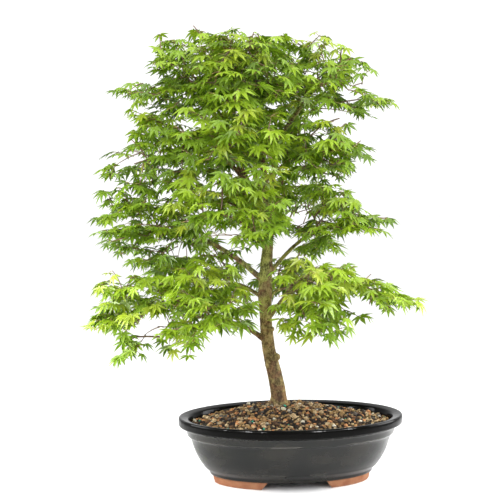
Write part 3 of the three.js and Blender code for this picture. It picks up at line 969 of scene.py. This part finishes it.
def tube(points, radii, sides):
    """A thin stem through points, pointed at its end."""
    points = [Vector(p) for p in points]
    rings = []
    for i, (point, radius) in enumerate(zip(points, radii)):
        way = (points[min(i + 1, len(points) - 1)] - points[max(i - 1, 0)]).normalized()
        aside = Vector((0, 0, 1)) if abs(way.z) < 0.9 else Vector((1, 0, 0))
        first = way.cross(aside).normalized()
        second = first.cross(way)
        for k in range(sides):
            turn = math.tau * k / sides
            rings.append(point + (first * math.cos(turn) + second * math.sin(turn)) * radius)
    tip = len(rings)
    rings.append(points[-1] + (points[-1] - points[-2]).normalized() * radii[-1])
    faces = []
    for i in range(len(points) - 1):
        for k in range(sides):
            a, b = i * sides + k, i * sides + (k + 1) % sides
            faces += [(a, a + sides, b), (b, a + sides, b + sides)]
    last = (len(points) - 1) * sides
    faces += [(last + k, tip, last + (k + 1) % sides) for k in range(sides)]
    return np.array([tuple(p) for p in rings]), np.array(faces)


def twig_line(start, end, chance):
    """A twig's points: it wanders a little and nods at its end."""
    length = (end - start).length
    aside = (end - start).cross(Vector((0, 0, 1)))
    aside = aside.normalized() if aside.length > 1e-6 else Vector((1, 0, 0))
    sway = chance.between(-TWIG_BEND, TWIG_BEND) * length
    rise = chance.between(0.3, 1) * TWIG_BEND * length
    points = []
    for share in TWIG_SHARES:
        arch = 4 * share * (1 - share)
        points.append(start.lerp(end, share) + aside * sway * arch + Vector((0, 0, rise * arch)))
    return points


def along_line(points, share):
    place = share * (len(points) - 1)
    i = min(int(place), len(points) - 2)
    return points[i].lerp(points[i + 1], place - i)


# Open sky between and beside the layers as the camera sees it, in the plane of the pot's middle:
# across, height and half sizes.
SKY_GAPS = [
    (-221, 465, 30, 15), (-133, 485, 23, 11), (-68, 442, 10, 16), (-19, 481, 12, 20),
    (-17, 434, 13, 13), (-18, 367, 14, 16), (25, 528, 30, 16), (150, 436, 34, 12),
    (82, 914, 50, 16), (150, 888, 48, 20), (180, 846, 40, 16), (228, 808, 32, 32),
    (176, 797, 36, 12), (128, 770, 22, 14), (100, 728, 30, 14), (168, 690, 34, 24),
    (190, 542, 30, 14), (168, 610, 36, 14), (184, 582, 64, 28), (143, 477, 52, 14),
    (180, 452, 64, 20), (250, 410, 56, 36), (192, 410, 28, 14), (262, 388, 40, 10),
    (122, 348, 24, 12), (184, 318, 72, 14), (200, 282, 64, 18), (-328, 832, 40, 30),
    (-292, 882, 34, 22), (-346, 696, 42, 30), (-318, 648, 24, 12), (-412, 487, 16, 32),
    (-359, 442, 36, 12), (-405, 422, 24, 32), (-417, 372, 26, 28), (-408, 352, 22, 12),
    (-434, 336, 22, 26), (-256, 320, 20, 18), (-296, 298, 22, 22), (-384, 276, 30, 16),
    (-118, 274, 34, 14), (-252, 926, 36, 18), (-186, 926, 36, 14), (-66, 918, 40, 22),
]

# Sprays that stand out from their mass, by the place of the twig's end.
OUTSTANDING = {
    "top_right": [(196, -5, 758), (41, 0, 872), (138, -5, 840), (5, -10, 884)],
    "top_left": [(-211, 0, 880), (-335, 0, 790)],
    "high_left": [(-282, -20, 704), (-225, -30, 724), (-348, -10, 636)],
    "high_right": [(148, -10, 650)],
    "mid_left": [(-365, 10, 585), (-282, -20, 588), (-335, -10, 592)],
    "mid_front": [(-92, -110, 470)],
    "low_left": [(-333, -20, 256), (-374, -20, 326), (-318, -30, 412), (-336, -30, 322)],
    "low_left_front": [(-197, -90, 268), (-98, -100, 330)],
    "low_right": [(208, -20, 366), (136, -20, 330)],
    "low_right_front": [(60, -80, 300), (-10, -90, 330), (104, -60, 312)],
}

# The share of the finer tips that a mass bears, where it is thinner than the others.
THINNED = {
    "low_right": 0.6, "low_right_front": 0.7, "low_right_back": 0.55,
    "low_left": 0.85, "low_left_front": 0.85, "low_left_back": 0.8,
}

# How youthful the leaves of a mass look, from 0 to 1: larger, and paler both as younger leaves and
# as painted light.
YOUTH_AND_LIGHT = {
    "low_right": 0.95, "low_right_front": 1, "low_right_back": 0.6, "low_left": 0.75,
    "low_left_front": 0.7, "low_left_back": 0.5, "mid_front": 0.5, "high_front": 0.45,
    "top_front": 0.3, "mid_right": 0.4, "top_right": 0.3,
}
PLAIN_YOUTH_AND_LIGHT = 0.2
# The share of sprays that take the last tint, a painted sheen.
PAINTED_SHEEN_SHARE = 0.04

# How far tints vary from spray to spray and from leaf to leaf, in steps of tint.
SPRAY_SPREAD = 0.9
LEAF_SPREAD = 0.6

# Leaves sit at a twig's tip and in pairs back along it, turned from its way by these degrees.
TIP_TURNS = (0, 55, -55)
PAIR_TURNS = (75, -75)
PAIR_SPACING = (16, 22)
PAIRS_WITHIN = 0.85
MOST_LEAVES = 9

LEAF_LENGTH = (20, 30)
LARGE_LEAF = 1.3
LARGE_SHARE = 0.15
LARGE_SHARE_OF_YOUNG = 0.5
LEAF_STALK = (8, 20)
LEAF_SWING = 22
LEAF_RISE = 25
LEAF_TILT = (4, 48)
LEAF_ROLL = 24
LEAF_HANG = 0.6
LEAF_SPAN = 0.8
STALK_RADII = (0.75, 0.6, 0.6)
STALK_BOW = 0.08

# How strongly leaves turn out from the middle of their mass.
OUTWARD_TURN = 0.8

# How far a leaf may reach out of its mass's space, as a squared share, and into the next one's.
FURTHEST = 1.04
FURTHEST_OUTSTANDING = 1.25
DEEPEST_IN_NEXT = 10

# A twig that bears fewer leaves is left bare, and is drawn only as far as a twig forks from it.
FEWEST_LEAVES = 3


def in_sky_gap(point):
    """Whether a point hides a gap from the camera. Sight lines spread from the camera's place."""
    eye = Vector(CAMERA_PLACE)
    seen = eye + (point - eye) * eye.y / (eye.y - point.y)
    return any(
        ((seen.x - x) / wide) ** 2 + ((seen.z - z) / high) ** 2 < 1
        for x, z, wide, high in SKY_GAPS
    )


def spray_tint(name, place, chance):
    """Sprays near the front and the top of a mass are younger, and paler as painted light from above
    and in front.
    """
    middle, half = MASSES[name]
    high = (place.z - middle[2]) / half[2]
    front = -(place.y - middle[1]) / half[1]
    # A few sprays take the last tint, a painted sheen.
    if chance.share() < PAINTED_SHEEN_SHARE:
        return len(LEAF_TINTS) - 1
    # Painted light: the top and the front of a mass take paler tints, its low back painted shade.
    youth_and_light = 1.3 + 0.75 * high + 0.35 * front + 1.3 * YOUTH_AND_LIGHT.get(name, PLAIN_YOUTH_AND_LIGHT)
    youth_and_light += chance.between(-SPRAY_SPREAD, SPRAY_SPREAD)
    return min(max(youth_and_light, 0), len(LEAF_TINTS) - 2)


def leaf_seats(length, chance):
    """Where leaves sit on a twig: shares of its length, and turns from its way in degrees."""
    seats = [(1, turn) for turn in TIP_TURNS]
    back = PAIR_SPACING[0]
    while back < length * PAIRS_WITHIN and len(seats) < MOST_LEAVES:
        seats += [(1 - back / length, turn) for turn in PAIR_TURNS]
        back += chance.between(*PAIR_SPACING)
    return seats


def level_way(way):
    return Vector((way.x, way.y, 0)).normalized()


class Leaf:
    """A leaf on its stalk: where it is rooted, which way it points and how long it is."""

    def __init__(self, seat, lead, turn, large_share, chance):
        swing = chance.between(-LEAF_SWING, LEAF_SWING)
        self.heading = math.atan2(lead.y, lead.x) + math.radians(turn + swing)
        self.seat = seat
        self.stalk = chance.between(*LEAF_STALK)
        rise = math.radians(chance.between(-LEAF_RISE, LEAF_RISE))
        level = math.cos(rise)
        east, north = math.cos(self.heading), math.sin(self.heading)
        self.root = seat + Vector((east * level, north * level, math.sin(rise))) * self.stalk
        size = chance.between(*LEAF_LENGTH)
        self.size = size * (LARGE_LEAF if chance.share() < large_share else 1)
        self.tip = self.root + Vector((east, north, -LEAF_HANG)) * self.size * LEAF_SPAN

    def fits(self, index, stands_out, at_twig_tip):
        """Whether it keeps to its mass's space and leaves the sky gaps open."""
        if farness(index, self.tip) > (FURTHEST_OUTSTANDING if stands_out else FURTHEST):
            return False
        if depth_in_own_space(index, self.root) < -DEEPEST_IN_NEXT:
            return False
        in_gap = in_sky_gap(self.root) or in_sky_gap(self.tip)
        return (stands_out and at_twig_tip) or not in_gap

    def blade(self, spray, chance):
        """The batch of its blade, tilted down and rolled by chance, in about its spray's tint."""
        tilt = math.radians(chance.between(*LEAF_TILT))
        roll = math.radians(chance.between(-LEAF_ROLL, LEAF_ROLL))
        points, faces = LEAF_SHAPES[int(chance.share() * len(LEAF_SHAPES))]
        turns = [(self.heading, "Z"), (tilt, "Y"), (roll, "X")]
        heading, tilted, rolled = (Matrix.Rotation(angle, 3, axis) for angle, axis in turns)
        placed = (points * self.size) @ np.array(heading @ tilted @ rolled).T + np.array(self.root)
        tint = spray + chance.between(-LEAF_SPREAD, LEAF_SPREAD)
        return from_tree(placed), faces, int(min(max(tint, 0), len(LEAF_TINTS) - 0.01))

    def stem(self):
        """The batch of its stalk, bowed up a little."""
        bow = self.seat.lerp(self.root, 0.5) + Vector((0, 0, STALK_BOW * self.stalk))
        points, faces = tube([self.seat, bow, self.root], STALK_RADII, 3)
        return from_tree(points), faces, 1


def twig_wood(bent, kind, reach):
    """The batch of a twig, drawn as far as its furthest leaf or fork."""
    root, tip = TWIG_RADII[kind]
    shares = TWIG_SHARES[:1 + math.ceil(reach * (len(TWIG_SHARES) - 1))]
    radii = [root + (tip - root) * share for share in shares]
    points, faces = tube(bent[:len(shares)], radii, 4)
    return from_tree(points), faces, 0


def leafy_mass(index, name):
    """Twig batches and leaf batches of one mass."""
    chance = Chance(FIRST_MASS_SEED + MASS_SEED_STEP * index)
    line = LIMB_LINES[name]
    way = line.way(1)
    start = line.point(1) + way * STEM_CLEARANCE
    stem_tip = start + way * STEM_LENGTH
    main = deal_tips(index, MAIN_TIPS, MAIN_REACH, MAIN_DEPTH, chance, [start])
    outstanding = [Vector(place) for place in OUTSTANDING.get(name, [])]
    count = round(FINE_TIPS * THINNED.get(name, 1))
    taken = [start, *main, *outstanding]
    fine = outstanding + deal_tips(index, count, FINE_REACH, FINE_DEPTH, chance, taken)
    joints = [(start.lerp(stem_tip, FIRST_JOINT), 0, None)]
    twigs = grow(joints, main, start, "main") + grow(joints, fine, start, "fine")
    points, faces = tube([line.point(1) - way * STEM_ROOT, stem_tip], TWIG_RADII["stem"], 6)
    wood = [(from_tree(points), faces, 0)]
    blades = []
    forks = []
    middle = Vector(MASSES[name][0])
    large_share = LARGE_SHARE + LARGE_SHARE_OF_YOUNG * YOUTH_AND_LIGHT.get(name, PLAIN_YOUTH_AND_LIGHT)
    for start, end, kind, bearer in reversed(twigs):
        bent = twig_line(start, end, chance)
        length = (end - start).length
        reach = max(((fork - start).length / length for tip, fork in forks if tip == end), default=0)
        stands_out = end in outstanding
        spray = spray_tint(name, end, chance)
        own = []
        for share, turn in leaf_seats(length, chance):
            seat = along_line(bent, share)
            lead = level_way(end - start) + level_way(seat - middle) * OUTWARD_TURN
            leaf = Leaf(seat, lead, turn, large_share, chance)
            if leaf.fits(index, stands_out, share == 1):
                own.append((share, leaf.blade(spray, chance), leaf.stem()))
        if len(own) >= FEWEST_LEAVES or (stands_out and own):
            reach = max(reach, *(share for share, _, _ in own))
            blades += [blade for _, blade, _ in own]
            wood += [stem for _, _, stem in own]
        if reach > 0:
            forks.append((bearer, start))
            wood.append(twig_wood(bent, kind, reach))
    return wood, blades


def make_foliage():
    """The leaves of each tier of masses as one piece, and all twigs and stalks as another."""
    tiers = {}
    twigs = []
    for index, name in enumerate(MASSES):
        wood, blades = leafy_mass(index, name)
        twigs += wood
        tiers.setdefault(name.split("_")[0], []).append((name, blades))
    for tier, masses in tiers.items():
        batches = [blade for _, blades in masses for blade in blades]
        leaves = joined_mesh("leaves_" + tier, batches, LEAF_TINTS)
        hand_over(leaves, "leaves", *("foliage_" + name for name, _ in masses))
    brush = joined_mesh("twigs", twigs, [TWIG_SKIN, STALK_SKIN])
    smooth(brush)
    hand_over(brush, "bark")


# Floor and light

FLOOR_SIZE = 80
FLOOR_LEVEL = -0.0005
WORLD_LIGHT = 1.14

# Soft boxes: place, aim, size and watts. The low ones light the ground beside the pot, which its
# ends mirror.
SOFT_BOXES = {
    "overhead": ((0.3, -0.6, 2.6), (0, 0, 0.5), (1.6, 1.2), 34),
    "front_left": ((-1.7, -2.1, 1.3), (0, 0, 0.5), (0.7, 0.9), 14),
    "front_right": ((1.6, -2.2, 1.2), (0, 0, 0.5), (0.6, 0.9), 16),
    "left": ((-2.2, -0.2, 0.9), (0, 0, 0.3), (1.4, 1.4), 14),
    "right": ((2.2, -0.2, 0.9), (0, 0, 0.3), (1.4, 1.4), 13),
    "low_left": ((-0.85, 0, 0.45), (-0.4, 0, 0), (0.5, 0.5), 10),
    "low_right": ((0.95, 0, 0.45), (0.5, 0, 0), (0.5, 0.5), 10),
}

# Windows whose gleam runs along the rim: azimuth from straight in front in degrees, and width.
WINDOWS = [(-58, 0.3), (-34, 0.4), (-22, 0.17), (22, 0.6), (49, 0.45)]
WINDOW_DISTANCE = 2.6
WINDOW_HEIGHT = 1.2
WINDOW_SIZE = 0.45
WINDOW_WATTS = 200


def make_floor():
    bpy.ops.mesh.primitive_plane_add(size=FLOOR_SIZE, location=(0, 0, FLOOR_LEVEL))
    floor = bpy.context.object
    floor.name = "studio_floor"
    pale = Finish("pale_floor", 0.9, 0.2)
    pale.set("Base Color", (0.92, 0.92, 0.92, 1))
    floor.data.materials.append(pale.material)


def soft_box(name, place, aim, size, watts):
    data = bpy.data.lights.new(name, "AREA")
    data.shape = "RECTANGLE"
    data.size, data.size_y = size
    data.energy = watts
    light = new_object(name, data)
    light.location = place
    light.rotation_euler = (Vector(aim) - Vector(place)).to_track_quat("-Z", "Y").to_euler()
    return light


def set_light():
    world = bpy.data.worlds.new("studio")
    bpy.context.scene.world = world
    world.use_nodes = True
    background = world.node_tree.nodes["Background"]
    background.inputs["Color"].default_value = (1, 1, 1, 1)
    background.inputs["Strength"].default_value = WORLD_LIGHT
    for name, settings in SOFT_BOXES.items():
        soft_box(name, *settings)
    for azimuth, width in WINDOWS:
        turn = math.radians(azimuth)
        place = (WINDOW_DISTANCE * math.sin(turn), -WINDOW_DISTANCE * math.cos(turn), WINDOW_HEIGHT)
        size = (width * WINDOW_SIZE, WINDOW_SIZE)
        window = soft_box("window", place, (0, 0, 0.15), size, WINDOW_WATTS * width)
        window.visible_diffuse = False
    bpy.context.scene.view_settings.view_transform = "Standard"


make_pot()
make_feet()
make_grit()
make_wood()
make_foliage()
make_floor()
set_light()
